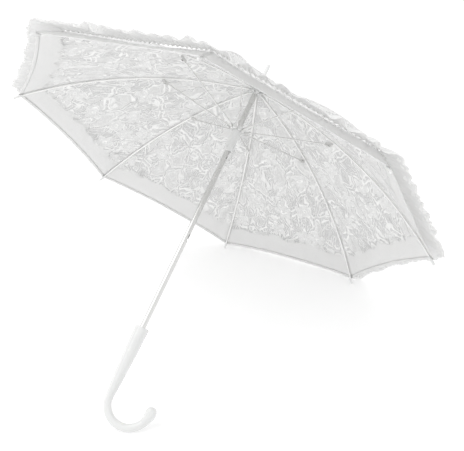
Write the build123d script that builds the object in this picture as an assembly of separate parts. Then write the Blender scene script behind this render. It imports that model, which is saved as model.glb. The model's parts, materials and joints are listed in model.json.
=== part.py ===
"""A lace parasol, open, lying on the floor on two rib ends and its crook handle.

Everything is made in the shaft's own frame: Z runs up the shaft to the crown, and Z = 0 is the
plane of the rib ends. One tilt then lays the finished parasol on the floor, with +Z up.
A point in a rib's plane is given as (distance from the shaft's axis, height).
"""
from build123d import *
import math
import os

# Canopy frame, open
RIB_COUNT = 8
RIM_R = 330.0            # shaft axis to a rib's end
DOME_H = 148.0           # crown wire above the plane of the rib ends
RIB_BOW = 25.0           # height of a rib's arc over its chord
CLOSED_TIP_R = 12.0      # shaft axis to a rib's end, closed

# Shaft: a steel tube
SHAFT_R = 4.0
SHAFT_WALL = 0.6
SHAFT_ABOVE_CROWN = 10.0
SHAFT_IN_GRIP = 55.0

# Crown: the notched disc that holds the ribs on a ring of wire
CROWN_R = 10.2
CROWN_BELOW = 4.6        # below the wire
CROWN_ABOVE = 4.0
CROWN_ROUND = 1.3
CROWN_WIRE_R = 7.5
WIRE_R = 0.5
NOTCH_ROOM = 0.3         # on each side of a rib or a blade
CUT_PAST = 1.0           # an open notch beyond the face that it runs through

# Ribs: round wire with an eye at the crown and a pierced lug for the stretcher
RIB_R = 1.2
EYE_R = 1.8
EYE_T = 1.8
EYE_HOLE_R = 0.6
LUG_AT = 135.0           # along the rib from the crown wire
LUG_T = 1.6
LUG_R = 2.2
LUG_DROP = 4.4           # the rivet below the rib's middle
LUG_SLEEVE_R = 1.8
LUG_SLEEVE_L = 10.0
TIP_R = 1.9
TIP_L = 15.0
TIP_ON = 7.0             # length of a tip over its rib
TIP_PLAY = 0.1
TIP_ROUND_SHARE = 0.98   # of the tip's radius

# Stretchers: a fork at the rib and a notched blade at the runner
RUNNER_WIRE_R = 9.6
RUNNER_OPEN_Z = 79.0
STRETCHER_R = 1.0
FORK_GAP = 0.3           # between a cheek and the lug
CHEEK_T = 0.8
CHEEK_L = 7.0
FORK_BLOCK_L = 4.0
FORK_CHAMFER = 0.9
BLADE_T = 1.6
BLADE_H = 3.4
BLADE_NOSE_H = 2.0
BLADE_ROOT_H = 1.7
BLADE_L = 7.0
BLADE_PAST = 1.0         # beyond the runner wire's middle
BLADE_ROOM = 0.3         # round the runner wire in the blade's notch
BLADE_INWARD = 0.78      # most that a blade may come inside the runner wire while it folds
MOST_RELIEF = 10.0       # degrees
TRAVEL_STEPS = 40
RIVET_R = 0.8
RIVET_PLAY = 0.05
RIVET_HEAD_R = 1.5
RIVET_HEAD_T = 0.5

# Runner
SLEEVE_R = 6.8
SLEEVE_BELOW = 38.0
SLEEVE_ABOVE = 3.0
RING_R = 11.6
RING_H = 5.6
FOOT_R = 7.4
FOOT_H = 5.0
RUNNER_PLAY = 0.08
KEYWAY_W = 2.6
KEYWAY_DEPTH = 2.1

# Spring catches in slots of the shaft
CATCH_T = 1.6
CATCH_PLAY = 0.4
CATCH_DEPTH = 2.6
CATCH_BASE_L = 19.0
NOSE_OUT = 1.7
NOSE_L = 11.0
NOSE_FLAT = 2.0
NOSE_GAP = 1.0           # to the runner that it holds
PRESS_PAST = 0.2         # a pressed nose under the shaft's surface

# Cloth
CLOTH_T = 0.7
CLOTH_GAP = 0.3
SEAM_GAP = 0.25
CLOTH_IN_R = 12.0
HEM_BACK = 1.0           # hem from a rib's end
FRILL_L = 44.0
FRILL_SEAM = 40.0        # the frill's seam from the hem, along the rib
FRILL_LIFT = 15.0        # degrees that the frill stands off the canopy
FRILL_T = 1.0
GORE_CLOSED_GAP = 9.0    # rib ends to the folded cloth, closed
CAP_R = 15.0
CAP_T = 0.8
CAP_GAP = 0.3

# Ferrule
FERRULE_FOOT_R = 6.5
FERRULE_FOOT_H = 2.0
FERRULE_NECK_R = 5.8
FERRULE_NECK_H = 6.0
FERRULE_R = 2.8
FERRULE_TAPER_H = 18.0
FERRULE_PIN_H = 20.0
FERRULE_ROUND = 1.2

# Crook handle
GRIP_BELOW_RIM = 247.0   # grip's top from the plane of the rib ends
GRIP_L = 100.0
GRIP_R = 9.6
GRIP_MIDDLE_R = 8.2
GRIP_ROUND = 1.2
CROOK_TUBE_R = 5.4
CROOK_R = 31.0
CROOK_TURN = 150.0       # degrees of plain bend
KNOB_TURN = 32.0         # degrees more to the knob's middle
KNOB_R = 7.4
KNOB_NECK_R = 6.7
CROOK_TO_SIDE = 18.0     # degrees that the crook turns towards the floor

# The lying tilt is between these
TILT_LOW = 20.0
TILT_HIGH = 80.0

HALVINGS = 50            # of each range that is searched for an angle

STEP = 360 / RIB_COUNT
HALF = math.radians(STEP / 2)

# Rib arc, from its chord and bow
CROWN_PIVOT = (CROWN_WIRE_R, DOME_H)
RIB_REACH = RIM_R - CROWN_WIRE_R
CHORD = math.hypot(RIB_REACH, DOME_H)
CHORD_DROP = math.atan2(DOME_H, RIB_REACH)
ARC_R = (CHORD ** 2 / 4 + RIB_BOW ** 2) / (2 * RIB_BOW)
ARC_X = (CROWN_WIRE_R + RIM_R) / 2 - math.sin(CHORD_DROP) * (ARC_R - RIB_BOW)
ARC_Z = DOME_H / 2 - math.cos(CHORD_DROP) * (ARC_R - RIB_BOW)
ARC_START = math.atan2(DOME_H - ARC_Z, CROWN_WIRE_R - ARC_X)
RIB_L = 2 * math.asin(CHORD / 2 / ARC_R) * ARC_R
RIB_FOLD = math.degrees(math.acos((CLOSED_TIP_R - CROWN_WIRE_R) / CHORD) - CHORD_DROP)


def on_arc(along, above=0.0):
    """The point that far along a rib from the crown wire, and above its middle line."""
    turn = ARC_START - along / ARC_R
    reach = ARC_R + above
    return ARC_X + reach * math.cos(turn), ARC_Z + reach * math.sin(turn)


def slope(along):
    """Degrees from level, positive where the rib climbs outwards."""
    return math.degrees(ARC_START - along / ARC_R) - 90


def folded(point, degrees):
    """A point of a rib's plane after the rib has folded down by that angle."""
    turn = math.radians(-degrees)
    out = point[0] - CROWN_WIRE_R
    up = point[1] - DOME_H
    return (
        CROWN_WIRE_R + out * math.cos(turn) - up * math.sin(turn),
        DOME_H + out * math.sin(turn) + up * math.cos(turn),
    )


# Linkage: the open runner gives the stretcher's length, and the folded rib the runner's travel
RIVET_AT = on_arc(LUG_AT, -LUG_DROP)
RUNNER_WIRE_AT = (RUNNER_WIRE_R, RUNNER_OPEN_Z)
STRETCHER_L = math.dist(RIVET_AT, RUNNER_WIRE_AT)
STRETCHER_DROP = math.degrees(math.asin((RIVET_AT[1] - RUNNER_OPEN_Z) / STRETCHER_L))
RIVET_CLOSED = folded(RIVET_AT, RIB_FOLD)
CLOSED_REACH = RIVET_CLOSED[0] - RUNNER_WIRE_R
RUNNER_CLOSED_Z = RIVET_CLOSED[1] - math.sqrt(STRETCHER_L ** 2 - CLOSED_REACH ** 2)
RUNNER_TRAVEL = RUNNER_OPEN_Z - RUNNER_CLOSED_Z
CLOSED_DROP = math.degrees(math.acos(CLOSED_REACH / STRETCHER_L))


def blade_inward(relief):
    """How far a blade's notch comes inside the runner wire, at most, when rib and stretcher fold evenly."""
    turn = CLOSED_DROP - STRETCHER_DROP + relief
    most = 0.0
    for step in range(TRAVEL_STEPS + 1):
        share = step / TRAVEL_STEPS
        rivet_r = folded(RIVET_AT, RIB_FOLD * share)[0]
        drop = math.radians(STRETCHER_DROP + turn * share)
        most = max(most, RUNNER_WIRE_R - rivet_r + STRETCHER_L * math.cos(drop))
    return most


def fold_relief():
    """Degrees that a stretcher folds past its place on the closed runner, to keep its blade off the sleeve."""
    low, high = 0.0, MOST_RELIEF
    for _ in range(HALVINGS):
        relief = (low + high) / 2
        if blade_inward(relief) > BLADE_INWARD:
            low = relief
        else:
            high = relief
    return relief


STRETCHER_FOLD = RIB_FOLD + CLOSED_DROP - STRETCHER_DROP + fold_relief()

# Cloth lies over the rib tips. A panel turns about the middle of its own inner edge
CLOTH_ABOVE = TIP_R + CLOTH_GAP
GORE_PIVOT_R = CROWN_WIRE_R * math.cos(HALF)
GORE_REACH = RIM_R * math.cos(HALF) - GORE_PIVOT_R
GORE_CLOSED_R = CLOSED_TIP_R + GORE_CLOSED_GAP
GORE_CLOSED = math.acos((GORE_CLOSED_R - GORE_PIVOT_R) / math.hypot(GORE_REACH, DOME_H))
GORE_FOLD = math.degrees(GORE_CLOSED - math.atan2(DOME_H, GORE_REACH))

CAP_Z = DOME_H + CROWN_ABOVE + CAP_GAP
FERRULE_Z = CAP_Z + CAP_T
FERRULE_PIN_Z = FERRULE_Z + FERRULE_NECK_H + FERRULE_TAPER_H
SHAFT_TOP = DOME_H + CROWN_ABOVE + SHAFT_ABOVE_CROWN
GRIP_TOP = -GRIP_BELOW_RIM
GRIP_END = GRIP_TOP - GRIP_L
SHAFT_LOW = GRIP_TOP - SHAFT_IN_GRIP

SHAFT_BORE_R = SHAFT_R - SHAFT_WALL
CATCH_OUT = math.sqrt(SHAFT_BORE_R ** 2 - (CATCH_T / 2) ** 2) - CATCH_PLAY
NOSE_R = SHAFT_R + NOSE_OUT
CATCH_TRAVEL = NOSE_OUT + PRESS_PAST
TOP_NOSE_Z = RUNNER_OPEN_Z - SLEEVE_BELOW - NOSE_GAP
LOW_NOSE_Z = RUNNER_CLOSED_Z + SLEEVE_ABOVE + NOSE_GAP


def azimuth(k):
    """Rib k's direction about the shaft. Ribs 1 and 2 meet the floor, either side of +Y."""
    return 90 + STEP * (k - 1.5)


def plate(outline, thickness):
    """A closed outline in a rib's plane, as a plate across that plane."""
    return extrude(make_face(outline), thickness / 2, both=True)


def outline(*points):
    return Polyline(*[(p[0], 0, p[1]) for p in points], close=True)


def pin(radius, length, point):
    """A round bar across a rib's plane."""
    return Pos(point[0], 0, point[1]) * Rot(90, 0, 0) * Cylinder(radius, length)


def wire_ring(ring_r, height):
    return Pos(0, 0, height) * Torus(ring_r, WIRE_R)


def tube(outer_r, inner_r, low, high):
    height = high - low
    solid = Cylinder(outer_r, height) - Cylinder(inner_r, height)
    return Pos(0, 0, (low + high) / 2) * solid


def arc_edge(start, end, above=0.0):
    points = [on_arc(along, above) for along in (start, (start + end) / 2, end)]
    return ThreePointArc(*[(p[0], 0, p[1]) for p in points])


def along_rib(along):
    """A place on a rib with Z outwards along it."""
    point = on_arc(along)
    return Pos(point[0], 0, point[1]) * Rot(0, 90 - slope(along), 0)


def make_rib():
    path = arc_edge(2 * EYE_HOLE_R, RIB_L)
    wire = sweep(Plane(path @ 0, z_dir=path % 0) * Circle(RIB_R), path=path)
    sleeve = along_rib(LUG_AT) * Cylinder(LUG_SLEEVE_R, LUG_SLEEVE_L)
    ear = plate(
        outline(
            on_arc(LUG_AT - LUG_SLEEVE_L / 2),
            on_arc(LUG_AT + LUG_SLEEVE_L / 2),
            on_arc(LUG_AT + LUG_R, -LUG_DROP),
            on_arc(LUG_AT - LUG_R, -LUG_DROP),
        ),
        LUG_T,
    )
    eye = pin(EYE_R, EYE_T, CROWN_PIVOT)
    lug = pin(LUG_R, LUG_T, RIVET_AT)
    eye_hole = pin(EYE_HOLE_R, 2 * EYE_T, CROWN_PIVOT)
    rivet_hole = pin(RIVET_R + RIVET_PLAY, 2 * LUG_T, RIVET_AT)
    return wire + sleeve + ear + eye + lug - eye_hole - rivet_hole


def make_rib_tip():
    body = Pos(0, 0, TIP_L / 2) * Cylinder(TIP_R, TIP_L)
    body = fillet(body.edges().group_by(Axis.Z)[-1], TIP_R * TIP_ROUND_SHARE)
    body -= Pos(0, 0, TIP_ON / 2) * Cylinder(RIB_R + TIP_PLAY, TIP_ON)
    return along_rib(RIB_L - TIP_ON) * body


def make_stretcher():
    """Made along X from the rivet, with Z to its lower side, and turned into place."""
    cheek_y = LUG_T / 2 + FORK_GAP + CHEEK_T / 2
    fork_w = LUG_T + 2 * FORK_GAP + 2 * CHEEK_T
    block = Pos(CHEEK_L, 0, 0) * Box(FORK_BLOCK_L, fork_w, 2 * LUG_R)
    block = chamfer(block.edges().group_by(Axis.X)[-1], FORK_CHAMFER)
    body = block
    for side in (-1, 1):
        cheek = Pos(CHEEK_L / 2, side * cheek_y, 0) * Box(CHEEK_L, CHEEK_T, 2 * LUG_R)
        body += cheek + Pos(0, side * cheek_y, 0) * Rot(90, 0, 0) * Cylinder(LUG_R, CHEEK_T)
    rod_l = STRETCHER_L - CHEEK_L - BLADE_L + STRETCHER_R
    body += Pos(CHEEK_L + rod_l / 2, 0, 0) * Rot(0, 90, 0) * Cylinder(STRETCHER_R, rod_l)
    body += plate(
        outline(
            (STRETCHER_L - BLADE_L - BLADE_H, 0),
            (STRETCHER_L + BLADE_PAST, 0),
            (STRETCHER_L + BLADE_PAST, BLADE_NOSE_H),
            (STRETCHER_L, BLADE_H),
            (STRETCHER_L - BLADE_L, BLADE_ROOT_H),
        ),
        BLADE_T,
    )
    body -= pin(WIRE_R + BLADE_ROOM, 2 * BLADE_T, (STRETCHER_L, 0))
    body -= pin(RIVET_R, 2 * fork_w, (0, 0))
    return Pos(RIVET_AT[0], 0, RIVET_AT[1]) * Rot(0, 180 - STRETCHER_DROP, 0) * body


def make_rivet():
    half_w = LUG_T / 2 + FORK_GAP + CHEEK_T
    body = pin(RIVET_R, 2 * half_w, RIVET_AT)
    for side in (-1, 1):
        head = pin(RIVET_HEAD_R, RIVET_HEAD_T, RIVET_AT)
        body += Pos(0, side * (half_w + RIVET_HEAD_T / 2), 0) * head
    return body


def between_ribs(strip):
    """A strip's face in one rib's plane, drawn out to the next rib and cut clear of both."""
    toward = math.radians(90 + STEP / 2)
    reach = 2 * (RIM_R + FRILL_L) * math.sin(HALF)
    body = extrude(strip, reach, dir=(math.cos(toward), math.sin(toward), 0))
    apex = SEAM_GAP / math.sin(HALF)
    far = 2 * RIM_R
    middle = (apex * math.cos(HALF), apex * math.sin(HALF))
    wedge = make_face(
        Polyline(
            middle,
            (middle[0] + far, middle[1]),
            (middle[0] + far * math.cos(2 * HALF), middle[1] + far * math.sin(2 * HALF)),
            close=True,
        )
    )
    return body & Pos(0, 0, -far / 2) * extrude(wedge, far)


def make_gore():
    hem = RIB_L - HEM_BACK
    start = CLOTH_IN_R - CROWN_WIRE_R
    under = arc_edge(start, hem, CLOTH_ABOVE)
    over = arc_edge(start, hem, CLOTH_ABOVE + CLOTH_T)
    ends = [Line(under @ 0, over @ 0), Line(under @ 1, over @ 1)]
    return between_ribs(make_face([under, over] + ends))


def make_frill():
    seam = RIB_L - HEM_BACK - FRILL_SEAM
    low = on_arc(seam, CLOTH_ABOVE + CLOTH_T + SEAM_GAP)
    lean = math.radians(slope(seam) + FRILL_LIFT)
    out = (math.cos(lean), math.sin(lean))
    up = (-out[1], out[0])
    corners = [(0, 0), (FRILL_L, 0), (FRILL_L, FRILL_T), (0, FRILL_T)]
    points = [
        (low[0] + a * out[0] + b * up[0], low[1] + a * out[1] + b * up[1]) for a, b in corners
    ]
    return between_ribs(make_face(outline(*points)))


def notches(wire_r, wire_z, width, inner_r, outer_r, low, high):
    """Radial slots at the ribs, with the ring of wire that they hold taken out as well."""
    cut = wire_ring(wire_r, wire_z)
    slot = Pos((inner_r + 2 * outer_r) / 2, 0, (low + high) / 2)
    slot *= Box(2 * outer_r - inner_r, width, high - low)
    for k in range(1, RIB_COUNT + 1):
        cut += Rot(0, 0, azimuth(k)) * slot
    return cut


def make_crown():
    low = DOME_H - CROWN_BELOW
    high = DOME_H + CROWN_ABOVE
    body = tube(CROWN_R, SHAFT_R, low, high)
    body = fillet(body.edges().group_by(Axis.Z)[-1].sort_by(SortBy.LENGTH)[-1], CROWN_ROUND)
    inner_r = CROWN_WIRE_R - EYE_R - NOTCH_ROOM
    width = 2 * (RIB_R + NOTCH_ROOM)
    top = DOME_H + EYE_R + NOTCH_ROOM
    return body - notches(CROWN_WIRE_R, DOME_H, width, inner_r, CROWN_R, low - CUT_PAST, top)


def make_runner():
    low = RUNNER_OPEN_Z - SLEEVE_BELOW
    high = RUNNER_OPEN_Z + SLEEVE_ABOVE
    bore_r = SHAFT_R + RUNNER_PLAY
    body = tube(SLEEVE_R, bore_r, low, high)
    ring = tube(RING_R, bore_r, RUNNER_OPEN_Z - RING_H / 2, RUNNER_OPEN_Z + RING_H / 2)
    width = BLADE_T + 2 * NOTCH_ROOM + 2 * (STRETCHER_R - BLADE_T / 2)
    ring -= notches(RUNNER_WIRE_R, RUNNER_OPEN_Z, width, SLEEVE_R, RING_R, low, high + CUT_PAST)
    body += ring + tube(FOOT_R, bore_r, low, low + FOOT_H)
    keyway_r = bore_r + KEYWAY_DEPTH
    keyway = Pos(keyway_r / 2, 0, (low + high) / 2) * Box(keyway_r, KEYWAY_W, high - low)
    return body - keyway


def catch_slot(nose_z, toward):
    middle = nose_z + toward * NOSE_L / 2
    size = (SHAFT_R, CATCH_T + 2 * CATCH_PLAY, NOSE_L + 2 * CATCH_PLAY)
    return Pos(SHAFT_R, 0, middle) * Box(*size)


def make_catch(nose_z, toward):
    """A leaf inside the shaft with a nose through its slot: square at nose_z, sloping away."""
    middle = nose_z + toward * NOSE_L / 2
    base = Pos(CATCH_OUT - CATCH_DEPTH / 2, 0, middle) * Box(CATCH_DEPTH, CATCH_T, CATCH_BASE_L)
    nose = plate(
        outline(
            (CATCH_OUT - CATCH_DEPTH / 2, nose_z),
            (NOSE_R, nose_z),
            (NOSE_R, nose_z + toward * NOSE_FLAT),
            (CATCH_OUT - CATCH_DEPTH / 2, nose_z + toward * NOSE_L),
        ),
        CATCH_T,
    )
    return base + nose


def make_shaft():
    body = tube(SHAFT_R, SHAFT_BORE_R, SHAFT_LOW, SHAFT_TOP)
    return body - catch_slot(TOP_NOSE_Z, -1) - catch_slot(LOW_NOSE_Z, 1)


def turned_solid(points):
    """A solid of revolution about the shaft from (radius, height) points."""
    return revolve(make_face(outline(*points)), Axis.Z)


def make_ferrule():
    neck = FERRULE_Z + FERRULE_NECK_H
    end = FERRULE_PIN_Z + FERRULE_PIN_H
    body = turned_solid(
        [
            (0, SHAFT_TOP),
            (SHAFT_R, SHAFT_TOP),
            (SHAFT_R, FERRULE_Z),
            (FERRULE_FOOT_R, FERRULE_Z),
            (FERRULE_FOOT_R, FERRULE_Z + FERRULE_FOOT_H),
            (FERRULE_NECK_R, neck),
            (FERRULE_R, FERRULE_PIN_Z),
            (FERRULE_R, end),
            (0, end),
        ]
    )
    return fillet(body.edges().group_by(Axis.Z)[-1], FERRULE_ROUND)


def make_grip():
    top = (GRIP_R, 0, GRIP_TOP)
    middle = (GRIP_MIDDLE_R, 0, GRIP_TOP - GRIP_L / 2)
    end = (CROOK_TUBE_R, 0, GRIP_END)
    side = ThreePointArc(top, middle, end)
    rest = Polyline(end, (0, 0, GRIP_END), (0, 0, GRIP_TOP), top)
    body = revolve(make_face(side.edges() + rest.edges()), Axis.Z)
    body = fillet(body.edges().group_by(Axis.Z)[-1], GRIP_ROUND)
    return body - Pos(0, 0, GRIP_TOP - SHAFT_IN_GRIP / 2) * Cylinder(SHAFT_R, SHAFT_IN_GRIP)


def crook_point(degrees):
    """The crook's middle line, as (sideways, height), that far round from the grip."""
    turn = math.radians(degrees)
    return CROOK_R * (1 - math.cos(turn)), GRIP_END - CROOK_R * math.sin(turn)


def crook_section(degrees, radius):
    out, up = crook_point(degrees)
    return Pos(out, 0, up) * Rot(0, 180 - degrees, 0) * Circle(radius)


def make_crook_handle():
    points = [crook_point(turn) for turn in (0, CROOK_TURN / 2, CROOK_TURN)]
    path = ThreePointArc(*[(p[0], 0, p[1]) for p in points])
    bend = sweep(crook_section(0, CROOK_TUBE_R), path=path)
    knob_end = CROOK_TURN + KNOB_TURN
    knob = loft(
        [
            crook_section(CROOK_TURN, CROOK_TUBE_R),
            crook_section(CROOK_TURN + KNOB_TURN / 2, KNOB_NECK_R),
            crook_section(knob_end, KNOB_R),
        ]
    )
    out, up = crook_point(knob_end)
    knob += Pos(out, 0, up) * Sphere(KNOB_R)
    return make_grip() + Rot(0, 0, CROOK_TO_SIDE) * (bend + knob)


def tip_low(tilt):
    """Height of the two lower rib tips over the shaft frame's origin, once tilted."""
    out, up = on_arc(RIB_L - TIP_ON)
    lean = math.radians(slope(RIB_L - TIP_ON))
    out += (TIP_L - TIP_R) * math.cos(lean)
    up += (TIP_L - TIP_R) * math.sin(lean)
    return up * math.cos(tilt) - out * math.cos(HALF) * math.sin(tilt) - TIP_R


def crook_low(tilt):
    """The same for the lowest point of the crook's bend."""
    side = math.sin(math.radians(CROOK_TO_SIDE)) * math.sin(tilt)
    heights = []
    for degrees in range(int(CROOK_TURN) + 1):
        out, up = crook_point(degrees)
        heights.append(up * math.cos(tilt) - out * side - CROOK_TUBE_R)
    return min(heights)


def lying_tilt():
    """The tilt in degrees that brings both rib tips and the crook down together."""
    low, high = math.radians(TILT_LOW), math.radians(TILT_HIGH)
    for _ in range(HALVINGS):
        tilt = (low + high) / 2
        if crook_low(tilt) < tip_low(tilt):
            low = tilt
        else:
            high = tilt
    return math.degrees(tilt)


def make_all():
    """Every node's solid in the shaft's frame."""
    nodes = {
        "shaft": make_shaft(),
        "crown": make_crown(),
        "crown_wire": wire_ring(CROWN_WIRE_R, DOME_H),
        "canopy_cap": tube(CAP_R, SHAFT_R, CAP_Z, CAP_Z + CAP_T),
        "ferrule": make_ferrule(),
        "crook_handle": make_crook_handle(),
        "runner": make_runner(),
        "runner_wire": wire_ring(RUNNER_WIRE_R, RUNNER_OPEN_Z),
        "top_catch": make_catch(TOP_NOSE_Z, -1),
        "lower_catch": make_catch(LOW_NOSE_Z, 1),
    }
    at_each_rib = {
        "rib": make_rib(),
        "rib_tip": make_rib_tip(),
        "stretcher": make_stretcher(),
        "rivet": make_rivet(),
        "gore": make_gore(),
        "frill": make_frill(),
    }
    for name, shape in at_each_rib.items():
        for k in range(1, RIB_COUNT + 1):
            nodes[f"{name}_{k}"] = Rot(0, 0, azimuth(k)) * shape
    return nodes


TILT = lying_tilt()
NODES = make_all()
LEANING = Rot(-TILT, 0, 0)
BOX = Compound([LEANING * shape for shape in NODES.values()]).bounding_box()
CENTRE = BOX.center()
LYING = Pos(-CENTRE.X, -CENTRE.Y, -BOX.min.Z) * LEANING

os.makedirs("parts", exist_ok=True)
for node_name, node_shape in NODES.items():
    export_step(LYING * node_shape, f"parts/{node_name}.step")
print(f"tilt {TILT:.2f}, box {BOX.size}, rib {RIB_L:.1f}, stretcher {STRETCHER_L:.1f}")
print(f"runner travel {RUNNER_TRAVEL:.1f}, rib fold {RIB_FOLD:.1f}, panel fold {GORE_FOLD:.1f}")
print(f"stretcher fold {STRETCHER_FOLD:.1f}, catch travel {CATCH_TRAVEL:.1f}")
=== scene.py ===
"""Looks of the lace parasol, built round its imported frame. Metres, in the frame's own axes."""
import json
import math
import random

import bpy
import numpy as np
from mathutils import Matrix, Vector, noise

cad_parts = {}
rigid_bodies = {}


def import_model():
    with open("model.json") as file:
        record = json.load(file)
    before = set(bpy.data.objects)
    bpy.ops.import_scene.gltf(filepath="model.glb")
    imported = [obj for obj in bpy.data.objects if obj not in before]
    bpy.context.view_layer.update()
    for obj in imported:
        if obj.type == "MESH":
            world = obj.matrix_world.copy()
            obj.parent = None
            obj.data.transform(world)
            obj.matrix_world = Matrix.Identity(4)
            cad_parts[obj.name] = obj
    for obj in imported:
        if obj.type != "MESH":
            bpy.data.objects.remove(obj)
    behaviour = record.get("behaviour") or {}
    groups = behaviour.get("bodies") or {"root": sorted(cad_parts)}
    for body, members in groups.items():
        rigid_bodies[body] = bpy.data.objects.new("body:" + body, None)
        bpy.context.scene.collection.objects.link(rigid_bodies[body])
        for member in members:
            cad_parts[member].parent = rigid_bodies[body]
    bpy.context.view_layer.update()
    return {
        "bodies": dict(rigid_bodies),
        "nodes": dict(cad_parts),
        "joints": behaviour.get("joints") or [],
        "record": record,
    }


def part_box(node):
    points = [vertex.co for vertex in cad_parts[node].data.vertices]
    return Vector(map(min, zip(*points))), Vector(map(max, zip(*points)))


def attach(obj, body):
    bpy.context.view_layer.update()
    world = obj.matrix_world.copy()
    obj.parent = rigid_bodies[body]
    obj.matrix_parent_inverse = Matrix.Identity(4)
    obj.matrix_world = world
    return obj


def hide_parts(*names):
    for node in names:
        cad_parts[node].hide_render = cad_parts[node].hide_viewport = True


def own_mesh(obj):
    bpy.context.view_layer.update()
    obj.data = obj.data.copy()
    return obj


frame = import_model()

# Camera, in the shaft's own axes and in rim radii from the middle of the rim
CAMERA_AT = (2.048, -2.932, -1.259)
CAMERA_AIM = (-0.5130, 0.8083, 0.2890)
CAMERA_UP = (-0.2163, -0.4475, 0.8677)
CAMERA_LENS = 66.5       # millimetres
SENSOR = 36.0            # millimetres

# Canopy cloth
RIB_BOW = 0.025          # a rib's arc over its chord, as the frame has it
END_FACE = 0.0006        # points this near a rib's furthest point are on its end
CLOTH_ABOVE = 0.0026     # the cloth's middle over the middle line of a rib
CLOTH_T = 0.0005         # thickness shown
CLOTH_START = 0.0065     # along the rib from the crown
PANEL_SAG = 0.007        # the middle of a panel under the straight line between its ribs
HEM_SCOOP = 0.007        # the middle of a hem inside the straight line between its tips
HEM_BACK = 0.001         # hem from the rib's end
HEM_W = 0.005            # the hem is folded inwards this far
HEM_FOLD = 0.0009        # the fold under the cloth
SEAM_RISE = 0.0006       # the seam over a rib
SEAM_W = 0.0032          # seam tape to each side of a rib
SAG_LEAN = 0.85          # under 1 puts the deepest sag nearer the crown than the hem
SAG_BROAD = 0.8          # under 1 makes the sag broader than a sine
WRINKLE = 0.0011         # unevenness of the stretched cloth
WRINKLE_STEPS = (2.6, 13, 3.7)   # through the noise: over half a panel, each metre along, each panel
TIP_CLEAR = 0.012        # the hem's fold gets shallower within this of a rib
ROWS = 90
HEM_ROWS = 5
COLUMNS = 76
BORDER = 0.036           # plain cloth along the hem

# Frill, sewn on outside the canopy
FRILL_W = 0.051
FRILL_SEAM = 0.040       # its seam from the hem
FRILL_ABOVE = 0.0022     # its seam over the middle of the cloth
FRILL_SEAM_LIFT = 25.2   # degrees off the canopy, near the seam
FRILL_EDGE_LIFT = 15.3   # degrees off the canopy, at the edge
FRILL_FULLNESS = 1.3     # cut length over the length of the hem
FRILL_WAVES = ((83, 1.0), (127, 0.3), (53, 0.7), (191, 0.12))   # (count round the whole rim, share)
FRILL_WAVE_SUM = 1.7     # the shares are divided by this
FRILL_SWELLS = ((11, 0.35, 1.3), (17, 0.25, 0.0))   # (count round the rim, share, start)
FRILL_WAVE = 0.0036      # a wave's height to each side
FRILL_FREE = 1.25        # the waves are full at 1 / this of the frill's width
FRILL_PLEATS = 248       # round the whole rim
FRILL_PLEAT = 0.0009     # a pleat's height to each side, at the seam
FRILL_EDGE_FROM = 0.8    # picots and unevenness fade in from this share of its width
FRILL_UNEVEN = (29, 0.0016, 2)   # count round the rim, metres, start
FRILL_T = 0.0004         # thickness shown
FRILL_ROWS = 18
FRILL_COLUMNS = 288
PICOTS = 48              # on each panel
PICOT = 0.0021
PICOT_ROUND = 0.7        # under 1 makes the picots rounder than a sine
FLOOR_CLEAR = 0.0008     # the frill turns outwards where it would meet the floor

# Patterns of the cloth
LACE_NET = 0.0017        # cell of its net
FRILL_NET = 0.0014       # the same on the frill
LEAF_W = 0.021           # a leaf's cell, across the panel
LEAF_L = 0.052           # and down it
FLOWER_CELL = 0.040      # from one flower's spot to the next
SPRIG_CELL = 0.015       # the same on the frill
PETALS = 5
GORE_SHIFT = (0.31, 0.17)   # the pattern moves on from panel to panel, across and along
FRILL_SHIFT = 0.41
BORDER_WAVE = 0.014      # how far the border's inner edge wanders

# Rosette under the ferrule
ROSETTE_INNER = 0.0042
ROSETTE_OUTER = 0.0165
ROSETTE_RINGS = 10
ROSETTE_AROUND = 160
ROSETTE_FOLDS = 16
ROSETTE_FOLD = 0.0011
ROSETTE_SCALLOP = 0.0008
ROSETTE_DROP = 0.0022    # its rim under its middle
ROSETTE_TO_HEM = 0.08    # far enough from any hem or seam to be patterned all over

# Studio
FLOOR_HALF = 6.0
KEY_AT = (-1.0, -1.0, 2.6)
KEY_SIZE = 1.4
KEY_POWER = 18
SKY_STRENGTH = 1.05


def unit(vector):
    return Vector(vector).normalized()


def joint(name):
    return next(j for j in frame["joints"] if j["name"] == name)


RIBS = sum(1 for name in frame["bodies"] if name.startswith("rib_"))
UP_SHAFT = -unit(joint("runner_slide")["axis"])
HINGES = [Vector(joint(f"rib_{k + 1}_hinge")["pos_m"]) for k in range(RIBS)]
CROWN = sum(HINGES, Vector()) / RIBS
CROWN_WIRE_R = (HINGES[0] - CROWN).length
OUT_SIDE = unit((1, 0, 0))
DOWN_SIDE = UP_SHAFT.cross(OUT_SIDE)
ALONG_FLOOR = unit((UP_SHAFT.x, UP_SHAFT.y, 0))
STEP = 2 * math.pi / RIBS
HALF = STEP / 2


def rib_end():
    """(distance from the shaft's axis, height under the crown) of the middle of rib 1's end."""
    co = np.array([v.co for v in frame["nodes"]["rib_1"].data.vertices]) - np.array(CROWN)
    far = np.linalg.norm(co, axis=1)
    end = Vector(co[far > far.max() - END_FACE].mean(0))
    along = end.dot(UP_SHAFT)
    return (end - along * UP_SHAFT).length, along


RIM_R, RIM_Z = rib_end()
RIM = CROWN + RIM_Z * UP_SHAFT
CHORD = math.hypot(RIM_R - CROWN_WIRE_R, RIM_Z)
ARC_R = (CHORD ** 2 / 4 + RIB_BOW ** 2) / (2 * RIB_BOW)
DROP = math.atan2(-RIM_Z, RIM_R - CROWN_WIRE_R)
ARC_X = (CROWN_WIRE_R + RIM_R) / 2 - math.sin(DROP) * (ARC_R - RIB_BOW)
ARC_Z = RIM_Z / 2 - math.cos(DROP) * (ARC_R - RIB_BOW)
ARC_START = math.atan2(-ARC_Z, CROWN_WIRE_R - ARC_X)
RIB_L = 2 * math.asin(CHORD / 2 / ARC_R) * ARC_R


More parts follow.
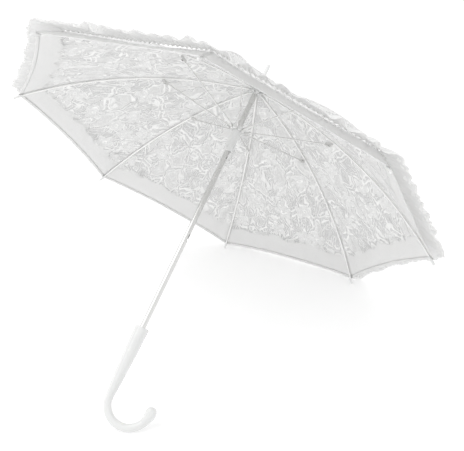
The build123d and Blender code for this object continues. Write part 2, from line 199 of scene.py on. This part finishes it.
def azimuth(k):
    """Rib k + 1's direction about the shaft."""
    arm = HINGES[k] - CROWN
    return math.atan2(arm.dot(DOWN_SIDE), arm.dot(OUT_SIDE))


def place(angle, out, up):
    """The point at that angle about the shaft, distance from its axis and height over the crown."""
    arm = math.cos(angle) * OUT_SIDE + math.sin(angle) * DOWN_SIDE
    return CROWN + out * arm + up * UP_SHAFT


def on_arc(along, above=0.0):
    """(out, up) at that distance along a rib from the crown, raised off it by above."""
    turn = ARC_START - along / ARC_R
    return ARC_X + (ARC_R + above) * math.cos(turn), ARC_Z + (ARC_R + above) * math.sin(turn)


def arc_normal(along):
    """Direction out of the canopy, as (out, up)."""
    turn = ARC_START - along / ARC_R
    return math.cos(turn), math.sin(turn)


def smooth(x):
    """0 to 1 with level ends, as x goes from 0 to 1."""
    x = min(max(x, 0.0), 1.0)
    return x * x * (3 - 2 * x)


def grid_mesh(name, rows, columns, point, cloth):
    """A sheet of rows by columns quads: point(i, j) is a place, cloth(i, j) its metres on the flat cloth."""
    verts = [point(i, j) for i in range(rows + 1) for j in range(columns + 1)]
    width = columns + 1
    faces = [
        (i * width + j, i * width + j + 1, (i + 1) * width + j + 1, (i + 1) * width + j)
        for i in range(rows)
        for j in range(columns)
    ]
    mesh = bpy.data.meshes.new(name)
    mesh.from_pydata([tuple(v) for v in verts], [], faces)
    flat = [cloth(i, j) for i in range(rows + 1) for j in range(columns + 1)]
    layer = mesh.uv_layers.new(name="Cloth")
    for loop in mesh.loops:
        layer.data[loop.index].uv = flat[loop.vertex_index]
    mesh.polygons.foreach_set("use_smooth", [True] * len(mesh.polygons))
    obj = bpy.data.objects.new(name, mesh)
    bpy.context.scene.collection.objects.link(obj)
    return obj


def apply_modifiers(obj):
    depsgraph = bpy.context.evaluated_depsgraph_get()
    mesh = bpy.data.meshes.new_from_object(obj.evaluated_get(depsgraph))
    obj.modifiers.clear()
    obj.data = mesh


def add_values(obj, name, values):
    """A number for each vertex, for the materials to read."""
    obj.data.attributes.new(name, "FLOAT", "POINT").data.foreach_set("value", values)


def thicken(obj, thickness):
    """Half of the thickness to each side of the sheet."""
    solid = obj.modifiers.new("Thickness", "SOLIDIFY")
    solid.thickness = thickness
    solid.offset = 0.0
    apply_modifiers(obj)


# ---------------------------------------------------------------- node helpers


class Nodes:
    """Short calls for building a material's node tree."""

    def __init__(self, name):
        self.material = bpy.data.materials.new(name)
        self.material.use_nodes = True
        self.tree = self.material.node_tree
        self.tree.nodes.clear()
        self.output = self.tree.nodes.new("ShaderNodeOutputMaterial")

    def new(self, kind, inputs=None, **settings):
        node = self.tree.nodes.new("ShaderNode" + kind)
        for key, value in settings.items():
            setattr(node, key, value)
        for key, value in (inputs or {}).items():
            self.put(node.inputs[key], value)
        return node

    def put(self, socket, value):
        if isinstance(value, bpy.types.NodeSocket):
            self.tree.links.new(value, socket)
        else:
            socket.default_value = value

    def math(self, operation, a, b=0.0):
        node = self.new("Math", operation=operation)
        self.put(node.inputs[0], a)
        self.put(node.inputs[1], b)
        return node.outputs[0]

    def vector(self, operation, a, b=(0, 0, 0), out=0):
        node = self.new("VectorMath", operation=operation)
        self.put(node.inputs[0], a)
        self.put(node.inputs[1], b)
        return node.outputs[out]

    def ramp(self, value, low, high, to_low=0.0, to_high=1.0):
        """Goes smoothly from to_low to to_high as value goes from low to high."""
        node = self.new("MapRange", interpolation_type="SMOOTHSTEP")
        for socket, number in zip(node.inputs[:5], (value, low, high, to_low, to_high)):
            self.put(socket, number)
        return node.outputs[0]

    def mix(self, share, a, b):
        """Numbers a to b by share."""
        node = self.new("Mix", data_type="FLOAT")
        self.put(node.inputs[0], share)
        self.put(node.inputs[2], a)
        self.put(node.inputs[3], b)
        return node.outputs[0]

    def colour(self, share, a, b):
        """Colours a to b by share."""
        node = self.new("Mix", data_type="RGBA")
        self.put(node.inputs[0], share)
        self.put(node.inputs[6], a)
        self.put(node.inputs[7], b)
        return node.outputs[2]

    def highest(self, *values):
        found = values[0]
        for value in values[1:]:
            found = self.math("MAXIMUM", found, value)
        return found


def line(n, value, middle, half_width, soft=0.5):
    """1 where value is within half_width of middle, falling off softly."""
    away = n.math("ABSOLUTE", n.math("SUBTRACT", value, middle))
    return n.ramp(away, half_width * (1 - soft), half_width * (1 + soft), 1.0, 0.0)


# ---------------------------------------------------------------- materials


def net_threads(n, xy, cell):
    """Thread density of a fine three-way net."""
    strands = []
    for degrees in (30, 150, 270):
        turn = math.radians(degrees)
        across = n.vector("DOT_PRODUCT", xy, (math.cos(turn), math.sin(turn), 0), out=1)
        wave = n.math("SINE", n.math("MULTIPLY", across, math.pi / cell))
        strands.append(n.ramp(n.math("ABSOLUTE", wave), 0.0, 0.55, 1.0, 0.0))
    return n.highest(*strands)


def drifted(n, xy, scale, size):
    """The cloth's metres, wandering by up to about size."""
    wander = n.new("TexNoise", {"Vector": xy, "Scale": scale, "Detail": 1.0}, noise_dimensions="2D")
    drift = n.vector("SUBTRACT", wander.outputs["Color"], (0.5, 0.5, 0.5))
    moved = n.vector("MULTIPLY_ADD", drift, (size, size, 0))
    n.put(moved.node.inputs[2], xy)
    return moved


def leaves(n, xy, width, length, seed):
    """Long leaves lying down the panel: their double outlines, the fill of some of them, and veins."""
    scaled = n.vector("MULTIPLY_ADD", xy, (1 / width, 1 / length, 0))
    scaled.node.inputs[2].default_value = (seed, 1.7 * seed, 0)
    settings = {"Vector": scaled, "Scale": 1.0, "Randomness": 0.85}
    cells = n.new("TexVoronoi", settings, voronoi_dimensions="2D")
    edges = n.new("TexVoronoi", settings, voronoi_dimensions="2D", feature="DISTANCE_TO_EDGE")
    to_edge = edges.outputs["Distance"]
    outline = line(n, to_edge, 0.085, 0.035)
    inner = n.math("MULTIPLY", line(n, to_edge, 0.235, 0.022), 0.75)
    chance = n.new("SeparateColor", {0: cells.outputs["Color"]}).outputs[1]
    chosen = n.ramp(chance, 0.52, 0.56)
    fill = n.math("MULTIPLY", n.ramp(to_edge, 0.09, 0.12), chosen)
    local = n.vector("SUBTRACT", scaled, cells.outputs["Position"])
    parts = n.new("SeparateXYZ", {0: local})
    vein = n.math("MULTIPLY", line(n, parts.outputs[0], 0.0, 0.022), n.ramp(to_edge, 0.1, 0.2))
    return n.highest(outline, inner), fill, vein


def flowers(n, xy, cell, petals, reach, share):
    """Flowers on a scattered lattice, in that share of its cells: lines, fill and the space they take."""
    scaled = n.vector("MULTIPLY", xy, (1 / cell, 1 / cell, 0))
    settings = {"Vector": scaled, "Scale": 1.0, "Randomness": 0.6}
    spots = n.new("TexVoronoi", settings, voronoi_dimensions="2D")
    local = n.vector("SUBTRACT", scaled, spots.outputs["Position"])
    parts = n.new("SeparateXYZ", {0: local})
    tint = n.new("SeparateColor", {0: spots.outputs["Color"]})
    angle = n.math("ARCTAN2", parts.outputs[1], parts.outputs[0])
    spin = n.math("ADD", angle, n.math("MULTIPLY", tint.outputs[0], 2 * math.pi))
    lobes = n.math("ABSOLUTE", n.math("COSINE", n.math("MULTIPLY", spin, petals / 2)))
    edge = n.math("MULTIPLY_ADD", lobes, reach * 0.42)
    edge.node.inputs[2].default_value = reach * 0.58
    far = n.vector("LENGTH", local, out=1)
    part = n.math("DIVIDE", far, edge)
    there = n.ramp(tint.outputs[2], 1 - share, 1 - share + 0.02)
    outline = n.highest(line(n, part, 0.92, 0.09), n.math("MULTIPLY", line(n, part, 0.55, 0.06), 0.8))
    heart = line(n, far, reach * 0.2, 0.03)
    space = n.math("MULTIPLY", n.ramp(part, 0.98, 1.08, 1.0, 0.0), there)
    lines = n.math("MULTIPLY", n.highest(outline, heart), there)
    fill = n.math("MULTIPLY", n.ramp(part, 0.85, 0.93, 1.0, 0.0), there)
    return lines, fill, space


def scrolls(n, xy, scale, stretch, seed, width):
    """Meandering outlines: contour lines of a smooth noise."""
    moved = n.vector("MULTIPLY_ADD", xy, (1.0, stretch, 1.0))
    moved.node.inputs[2].default_value = (seed, seed * 0.7, 0)
    waves = n.new(
        "TexNoise",
        {"Vector": moved, "Scale": scale, "Detail": 1.0, "Roughness": 0.4, "Distortion": 0.5},
        noise_dimensions="2D",
    )
    return n.highest(*[line(n, waves.outputs[0], level, width) for level in (0.38, 0.50, 0.62)])


def attribute(n, name):
    """What add_values put on the cloth under that name."""
    return n.new("Attribute", attribute_name=name).outputs["Fac"]


def cloth_shader(n, thread, height, bump_size, thin, thick, open_share, through):
    """Thread and gaps as one cloth: light comes through it, and its gaps can be seen through a little."""
    bump = n.new("Bump", {"Height": height, "Strength": 1.0, "Distance": bump_size})
    shade = n.colour(thread, thin, thick)
    cotton = n.new(
        "BsdfPrincipled",
        {
            "Base Color": shade,
            "Roughness": 0.82,
            "Sheen Weight": 0.2,
            "Sheen Roughness": 0.45,
            "Normal": bump.outputs[0],
        },
    )
    glow = n.new("BsdfTranslucent", {"Color": shade, "Normal": bump.outputs[0]})
    body = n.new("MixShader", {0: through, 1: cotton.outputs[0], 2: glow.outputs[0]})
    clear = n.new("BsdfTransparent")
    final = n.new("MixShader", {0: open_share, 1: body.outputs[0], 2: clear.outputs[0]})
    n.put(n.output.inputs[0], final.outputs[0])
    return n.material


def lace_material():
    """Embroidered net: long leaves, flowers and scrolls in the field, a plain band along the hem."""
    n = Nodes("lace")
    cloth = n.new("UVMap", uv_map="Cloth").outputs[0]
    to_hem = attribute(n, "to_hem")
    to_seam = attribute(n, "to_seam")
    xy = drifted(n, cloth, 55.0, 0.013)
    leaf_lines, leaf_fill, vein = leaves(n, xy, LEAF_W, LEAF_L, seed=2.3)
    flower_lines, flower_fill, flower_space = flowers(n, xy, FLOWER_CELL, PETALS, reach=0.40, share=0.55)
    curls = scrolls(n, xy, scale=62.0, stretch=0.45, seed=3.1, width=0.020)
    net = net_threads(n, cloth, LACE_NET)
    hatching = n.math("MULTIPLY", n.math("ADD", n.math("MULTIPLY", net, 0.25), 0.42), leaf_fill)
    backdrop = n.highest(leaf_lines, n.math("MULTIPLY", curls, 0.7), vein, hatching)
    bare = n.math("SUBTRACT", 1.0, flower_space)
    pattern = n.math("MULTIPLY", backdrop, bare)
    bloom = n.math("MAXIMUM", flower_lines, n.math("MULTIPLY", flower_fill, 0.42))
    field = n.highest(pattern, bloom, n.math("MULTIPLY", net, 0.22))
    wave = n.new("TexNoise", {"Vector": cloth, "Scale": 40.0, "Detail": 0.0}, noise_dimensions="2D")
    border = n.math("ADD", to_hem, n.math("MULTIPLY", n.math("SUBTRACT", wave.outputs[0], 0.5), BORDER_WAVE))
    in_field = n.ramp(border, BORDER - 0.003, BORDER + 0.004)
    hem = n.ramp(to_hem, HEM_W - 0.0004, HEM_W + 0.0004, 1.0, 0.0)
    seam = n.ramp(to_seam, SEAM_W - 0.0005, SEAM_W + 0.0003, 1.0, 0.0)
    tape = n.math("MULTIPLY", n.math("MAXIMUM", hem, seam), 0.85)
    plain = n.math("ADD", n.math("MULTIPLY", net, 0.16), 0.56)
    thread = n.math("MAXIMUM", n.mix(in_field, plain, field), tape)
    stitches = n.math("MAXIMUM", line(n, to_hem, HEM_W, 0.0005), line(n, to_seam, SEAM_W * 0.6, 0.0004))
    stitch_dents = n.math("MULTIPLY", stitches, 0.3)
    ripple = n.new("TexNoise", {"Vector": cloth, "Scale": 150.0, "Detail": 2.0}, noise_dimensions="2D")
    relief = n.mix(in_field, n.math("MULTIPLY", ripple.outputs[0], 0.25), field)
    height = n.math("SUBTRACT", n.math("MAXIMUM", relief, n.math("MULTIPLY", tape, 0.15)), stitch_dents)
    open_share = n.ramp(thread, 0.05, 0.5, 0.22, 0.0)
    return cloth_shader(
        n,
        thread,
        height,
        bump_size=0.0009,
        thin=(0.81, 0.81, 0.81, 1),
        thick=(0.97, 0.97, 0.965, 1),
        open_share=open_share,
        through=0.42,
    )


def frill_material():
    """Fine net, denser in its gathers, with a sprigged band and a corded picot edge."""
    n = Nodes("frill")
    cloth = n.new("UVMap", uv_map="Cloth").outputs[0]
    from_seam = n.new("SeparateXYZ", {0: cloth}).outputs[1]
    net = n.math("MULTIPLY", net_threads(n, cloth, FRILL_NET), 0.3)
    pleats = n.new(
        "TexWave", {"Vector": cloth, "Scale": 55.0, "Distortion": 1.5, "Detail": 2.0}, bands_direction="X"
    )
    gather = n.math("MULTIPLY", pleats.outputs[1], n.ramp(from_seam, 0.0, 0.016, 0.35, 0.0))
    edge = n.ramp(from_seam, FRILL_W - 0.0035, FRILL_W - 0.0025)
    tape = n.ramp(from_seam, 0.0025, 0.0032, 1.0, 0.0)
    sprigs, fills, _ = flowers(n, cloth, SPRIG_CELL, PETALS, reach=0.40, share=0.7)
    band = n.ramp(from_seam, FRILL_W - 0.020, FRILL_W - 0.015)
    sprig = n.math("MULTIPLY", n.math("MAXIMUM", sprigs, n.math("MULTIPLY", fills, 0.8)), band)
    thread = n.highest(net, n.math("ADD", gather, 0.4), edge, tape, n.math("MULTIPLY", sprig, 0.9))
    open_share = n.ramp(thread, 0.1, 0.8, 0.18, 0.0)
    return cloth_shader(
        n,
        thread,
        thread,
        bump_size=0.0005,
        thin=(0.87, 0.87, 0.87, 1),
        thick=(0.95, 0.95, 0.945, 1),
        open_share=open_share,
        through=0.45,
    )


def steel_material(name, base, rough):
    """Drawn steel: a very fine grain with slight clouding."""
    n = Nodes(name)
    place_in = n.new("TexCoord").outputs["Object"]
    drawn = n.new("TexNoise", {"Vector": place_in, "Scale": 900.0, "Detail": 2.0})
    cloud = n.new("TexNoise", {"Vector": place_in, "Scale": 45.0, "Detail": 3.0})
    roughness = n.ramp(cloud.outputs[0], 0.3, 0.7, rough * 0.8, rough * 1.3)
    bump = n.new("Bump", {"Height": drawn.outputs[0], "Strength": 0.12, "Distance": 0.0001})
    shade = n.colour(cloud.outputs[0], tuple(c * 0.92 for c in base) + (1,), tuple(base) + (1,))
    metal = n.new(
        "BsdfPrincipled",
        {"Base Color": shade, "Metallic": 1.0, "Roughness": roughness, "Normal": bump.outputs[0]},
    )
    n.put(n.output.inputs[0], metal.outputs[0])
    return n.material


def enamel_material():
    """White enamel on the ribs: a smooth coat with slight runs and worn, greyer spots."""
    n = Nodes("white enamel")
    place_in = n.new("TexCoord").outputs["Object"]
    runs = n.new("TexNoise", {"Vector": place_in, "Scale": 320.0, "Detail": 2.0})
    wear = n.new("TexNoise", {"Vector": place_in, "Scale": 150.0, "Detail": 4.0})
    worn = n.ramp(wear.outputs[0], 0.66, 0.74)
    shade = n.colour(worn, (0.93, 0.93, 0.92, 1), (0.74, 0.74, 0.73, 1))
    bump = n.new("Bump", {"Height": runs.outputs[0], "Strength": 0.2, "Distance": 0.00015})
    coat = n.new(
        "BsdfPrincipled",
        {
            "Base Color": shade,
            "Roughness": n.ramp(worn, 0.0, 1.0, 0.25, 0.5),
            "Coat Weight": 0.3,
            "Coat Roughness": 0.08,
            "Normal": bump.outputs[0],
        },
    )
    n.put(n.output.inputs[0], coat.outputs[0])
    return n.material


def plastic_material(name, base, rough, milky):
    """Moulded plastic: faint flow marks, a slightly pitted skin and a little light carried inside."""
    n = Nodes(name)
    place_in = n.new("TexCoord").outputs["Object"]
    pits = n.new("TexNoise", {"Vector": place_in, "Scale": 1400.0, "Detail": 2.0})
    flow = n.new("TexNoise", {"Vector": place_in, "Scale": 70.0, "Detail": 3.0, "Distortion": 1.2})
    roughness = n.ramp(flow.outputs[0], 0.35, 0.7, rough * 0.85, rough * 1.25)
    shade = n.colour(flow.outputs[0], tuple(c * 0.965 for c in base) + (1,), tuple(base) + (1,))
    bump = n.new("Bump", {"Height": pits.outputs[0], "Strength": 0.05, "Distance": 0.0001})
    body = n.new(
        "BsdfPrincipled",
        {
            "Base Color": shade,
            "Roughness": roughness,
            "Subsurface Weight": milky,
            "Subsurface Scale": 0.004,
            "Subsurface Radius": (1.0, 1.0, 0.95),
            "Coat Weight": 0.2,
            "Coat Roughness": 0.1,
            "Normal": bump.outputs[0],
        },
    )
    n.put(n.output.inputs[0], body.outputs[0])
    return n.material


# ---------------------------------------------------------------- cloth


def ruled(panel, across, out, up, sag=0.0):
    """A point of a panel: across runs from -1 at one rib to 1 at the next, where it meets (out, up)."""
    middle = azimuth(panel) + HALF
    toward = math.cos(middle) * OUT_SIDE + math.sin(middle) * DOWN_SIDE
    level = -math.sin(middle) * OUT_SIDE + math.cos(middle) * DOWN_SIDE
    reach = out * math.cos(HALF) - sag
    return CROWN + reach * toward + out * math.sin(HALF) * across * level + up * UP_SHAFT


def hem_at(across):
    """How far along the ribs the hem lies: at the tips, and a little inside between them."""
    return RIB_L - HEM_BACK - HEM_SCOOP * (1 - across * across)


def sag_at(along, across):
    """How far the cloth lies inside the straight line between its ribs."""
    profile = math.sin(math.pi * min(along / RIB_L, 1) ** SAG_LEAN) ** SAG_BROAD
    return PANEL_SAG * (1 - across * across) * profile


def wrinkle_at(panel, along, across):
    """Slight unevenness of the stretched cloth, none at the ribs."""
    by_across, by_along, by_panel = WRINKLE_STEPS
    spot = Vector((across * by_across, along * by_along, by_panel * panel))
    return WRINKLE * noise.noise(spot) * min(1.0, 4 * (1 - abs(across)))


def from_rib(along, across):
    """Distance on the cloth from the nearer rib."""
    return on_arc(along)[0] * math.sin(HALF) * (1 - abs(across))


def on_panel(panel, along, across, above):
    """A place over a panel's ribs, above them by that much, sagging between them."""
    normal = arc_normal(along)
    lift = above + SEAM_RISE * smooth(1.5 - from_rib(along, across) / SEAM_W)
    out, up = on_arc(along, lift)
    sag = sag_at(along, across) - wrinkle_at(panel, along, across)
    return ruled(panel, across, out, up - sag * normal[1], sag * normal[0])


def gore_rows():
    """Each row of a panel's cloth: its share of the way to the hem, metres back from it, and metres sunk."""
    rows = [(i / ROWS, 0.0, 0.0) for i in range(ROWS + 1)]
    for i in range(1, HEM_ROWS + 1):
        share = i / HEM_ROWS
        rows.append((1.0, HEM_W * share ** 2, HEM_FOLD * math.sin(math.pi / 2 * min(1.0, 2 * share))))
    return rows


def make_gore(panel, material):
    """A lace panel with its folded hem, from the crown to the rim."""
    rows = gore_rows()

    def spot(i, j):
        across = 2 * j / COLUMNS - 1
        share, back, sunk = rows[i]
        along = CLOTH_START + (hem_at(across) - CLOTH_START) * share - back
        clear_of_tip = smooth(from_rib(along, across) / TIP_CLEAR)
        return along, across, sunk * clear_of_tip

    def point(i, j):
        along, across, sunk = spot(i, j)
        return on_panel(panel, along, across, CLOTH_ABOVE - sunk)

    def cloth(i, j):
        along, across, _ = spot(i, j)
        flat_across = on_arc(along)[0] * math.sin(HALF) * across
        flat_along = along + 2 * rows[i][1]
        return flat_across + GORE_SHIFT[0] * panel, flat_along + GORE_SHIFT[1] * panel

    obj = grid_mesh(f"lace_gore_{panel + 1}", len(rows) - 1, COLUMNS, point, cloth)
    spots = [spot(i, j) for i in range(len(rows)) for j in range(COLUMNS + 1)]
    add_values(obj, "to_hem", [hem_at(across) - along for along, across, _ in spots])
    add_values(obj, "to_seam", [from_rib(along, across) for along, across, _ in spots])
    obj.data.materials.append(material)
    thicken(obj, CLOTH_T)
    return obj


def wave_starts():
    """Where each of the frill's waves begins, as angles."""
    rng = random.Random(7)
    return [rng.uniform(0, 2 * math.pi) for _ in FRILL_WAVES]


FRILL_STARTS = wave_starts()


def frill_wave(turn):
    """The frill's ripple at that share of the way round the rim: mostly -1 to 1, more where it swells."""
    total = 0.0
    for (count, size), start in zip(FRILL_WAVES, FRILL_STARTS):
        total += size * math.sin(2 * math.pi * count * turn + start)
    swell = 1.0
    for count, share, start in FRILL_SWELLS:
        swell += share * math.sin(2 * math.pi * count * turn + start)
    return total * swell / FRILL_WAVE_SUM


def frill_down(fall, across, turn):
    """Metres from the frill's seam, with picots and some unevenness at its edge."""
    edge = smooth((fall - FRILL_EDGE_FROM) / (1 - FRILL_EDGE_FROM))
    picot = PICOT * abs(math.sin(math.pi * PICOTS * (across + 1) / 2)) ** PICOT_ROUND
    count, size, start = FRILL_UNEVEN
    uneven = size * math.sin(2 * math.pi * count * turn + start)
    return FRILL_W * fall + edge * (picot - PICOT + uneven)


def make_frill(panel, material):
    """One panel's length of the ruffle, sewn on outside near the hem."""

    def point(i, j):
        across = 2 * j / FRILL_COLUMNS - 1
        turn = (panel + (across + 1) / 2) / RIBS
        fall = i / FRILL_ROWS
        down = frill_down(fall, across, turn)
        wave = FRILL_WAVE * frill_wave(turn) * smooth(fall * FRILL_FREE)
        wave += FRILL_PLEAT * math.sin(2 * math.pi * FRILL_PLEATS * turn) * (1 - fall) ** 2
        seam = hem_at(across) - FRILL_SEAM
        out, up = on_arc(seam, CLOTH_ABOVE + FRILL_ABOVE)
        normal = arc_normal(seam)
        tangent = (normal[1], -normal[0])
        lift = math.radians(FRILL_SEAM_LIFT + (FRILL_EDGE_LIFT - FRILL_SEAM_LIFT) * fall)
        out += down * (math.cos(lift) * tangent[0] + math.sin(lift) * normal[0]) + wave * normal[0]
        up += down * (math.cos(lift) * tangent[1] + math.sin(lift) * normal[1]) + wave * normal[1]
        spot = ruled(panel, across, out, up, sag_at(seam, across) * (1 - fall))
        under = max(0.0, FLOOR_CLEAR - spot.z)
        return spot + under * Vector((ALONG_FLOOR.x, ALONG_FLOOR.y, 1))

    def cloth(i, j):
        across = 2 * j / FRILL_COLUMNS - 1
        flat_across = across * RIM_R * math.sin(HALF) * FRILL_FULLNESS
        return flat_across + FRILL_SHIFT * panel, FRILL_W * i / FRILL_ROWS

    obj = grid_mesh(f"frill_edge_{panel + 1}", FRILL_ROWS, FRILL_COLUMNS, point, cloth)
    obj.data.materials.append(material)
    thicken(obj, FRILL_T)
    return obj


def fold_with_panel(obj, panel):
    """Rides on its panel, on a mesh of its own."""
    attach(obj, f"panel_{panel + 1}")
    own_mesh(obj)


def make_canopy(lace, net):
    """The eight lace panels and their frills, in place of the frame's plain solids."""
    for panel in range(RIBS):
        gore = make_gore(panel, lace)
        fold_with_panel(gore, panel)
        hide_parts(f"gore_{panel + 1}")
        frill = make_frill(panel, net)
        fold_with_panel(frill, panel)
        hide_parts(f"frill_{panel + 1}")


def make_rosette(material):
    """A small gathered disc of lace under the ferrule, which hides where the panels meet."""
    low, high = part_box("canopy_cap")
    base = (sum((Vector(low), Vector(high)), Vector()) / 2 - CROWN).dot(UP_SHAFT)

    def ring(i):
        return ROSETTE_INNER + (ROSETTE_OUTER - ROSETTE_INNER) * i / ROSETTE_RINGS

    def point(i, j):
        angle = 2 * math.pi * j / ROSETTE_AROUND
        share = i / ROSETTE_RINGS
        ripple = ROSETTE_FOLD * share * math.sin(ROSETTE_FOLDS * angle)
        scallop = ROSETTE_SCALLOP * share ** 3 * abs(math.sin(ROSETTE_FOLDS / 2 * angle))
        return place(angle, ring(i) + scallop, base - ROSETTE_DROP * share ** 2 + ripple)

    def cloth(i, j):
        angle = 2 * math.pi * j / ROSETTE_AROUND
        return ring(i) * math.cos(angle), ring(i) * math.sin(angle)

    obj = grid_mesh("crown_rosette", ROSETTE_RINGS, ROSETTE_AROUND, point, cloth)
    for name in ("to_hem", "to_seam"):
        add_values(obj, name, [ROSETTE_TO_HEM] * len(obj.data.vertices))
    obj.data.materials.append(material)
    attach(obj, "root")
    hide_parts("canopy_cap")
    thicken(obj, CLOTH_T)


def dress_frame():
    """Materials of the CAD nodes that show as they are."""
    steel = steel_material("bright steel", (0.73, 0.73, 0.72), 0.24)
    wire = steel_material("wire", (0.76, 0.76, 0.76), 0.3)
    enamel = enamel_material()
    white = plastic_material("white plastic", (0.78, 0.785, 0.78), 0.28, 0.15)
    milky = plastic_material("milky plastic", (0.74, 0.745, 0.74), 0.22, 0.35)
    finish = {
        "steel": steel,
        "wire": wire,
        "rib_enamel": enamel,
        "white_plastic": white,
        "handle_plastic": milky,
    }
    slots = {s["node"]: s["material_slot"] for s in frame["record"]["subparts"]}
    for name, obj in frame["nodes"].items():
        if slots[name] in finish:
            obj.data.materials.clear()
            obj.data.materials.append(finish[slots[name]])


# ---------------------------------------------------------------- stage


def make_stage():
    """A white floor that glows enough to keep the shadow faint."""
    size = FLOOR_HALF
    corners = [(-size, -size, 0), (size, -size, 0), (size, size, 0), (-size, size, 0)]
    mesh = bpy.data.meshes.new("floor")
    mesh.from_pydata(corners, [], [(0, 1, 2, 3)])
    floor = bpy.data.objects.new("floor", mesh)
    bpy.context.scene.collection.objects.link(floor)
    n = Nodes("studio floor")
    paint = n.new(
        "BsdfPrincipled",
        {
            "Base Color": (0.62, 0.62, 0.62, 1),
            "Roughness": 0.9,
            "Emission Color": (1, 1, 1, 1),
            "Emission Strength": 0.42,
        },
    )
    n.put(n.output.inputs[0], paint.outputs[0])
    mesh.materials.append(n.material)


def make_light(name, at, size, power):
    """An area light aimed at the middle of the rim."""
    light = bpy.data.lights.new(name, "AREA")
    light.energy = power
    light.size = size
    lamp = bpy.data.objects.new(name, light)
    bpy.context.scene.collection.objects.link(lamp)
    lamp.location = at
    lamp.rotation_euler = (RIM - Vector(at)).to_track_quat("-Z", "Y").to_euler()


def make_world():
    """Even white light from all round."""
    world = bpy.data.worlds.new("studio")
    bpy.context.scene.world = world
    world.use_nodes = True
    back = world.node_tree.nodes["Background"]
    back.inputs[0].default_value = (1, 1, 1, 1)
    back.inputs[1].default_value = SKY_STRENGTH


def make_camera():
    """The photo's angle, with one parasol filling the picture."""

    def from_shaft(vector):
        return vector[0] * OUT_SIDE + vector[1] * DOWN_SIDE + vector[2] * UP_SHAFT

    at = RIM + RIM_R * from_shaft(CAMERA_AT)
    forward = unit(from_shaft(CAMERA_AIM))
    right = unit(forward.cross(from_shaft(CAMERA_UP)))
    up = right.cross(forward)
    data = bpy.data.cameras.new("camera")
    data.lens = CAMERA_LENS
    data.sensor_width = SENSOR
    camera = bpy.data.objects.new("camera", data)
    turn = Matrix((right, up, -forward)).transposed().to_4x4()
    camera.matrix_world = Matrix.Translation(at) @ turn
    bpy.context.scene.collection.objects.link(camera)
    bpy.context.scene.camera = camera


def main():
    scene = bpy.context.scene
    scene.view_settings.view_transform = "Standard"
    make_camera()
    make_world()
    make_light("key", KEY_AT, KEY_SIZE, KEY_POWER)
    make_stage()
    lace = lace_material()
    make_canopy(lace, frill_material())
    make_rosette(lace)
    dress_frame()


main()
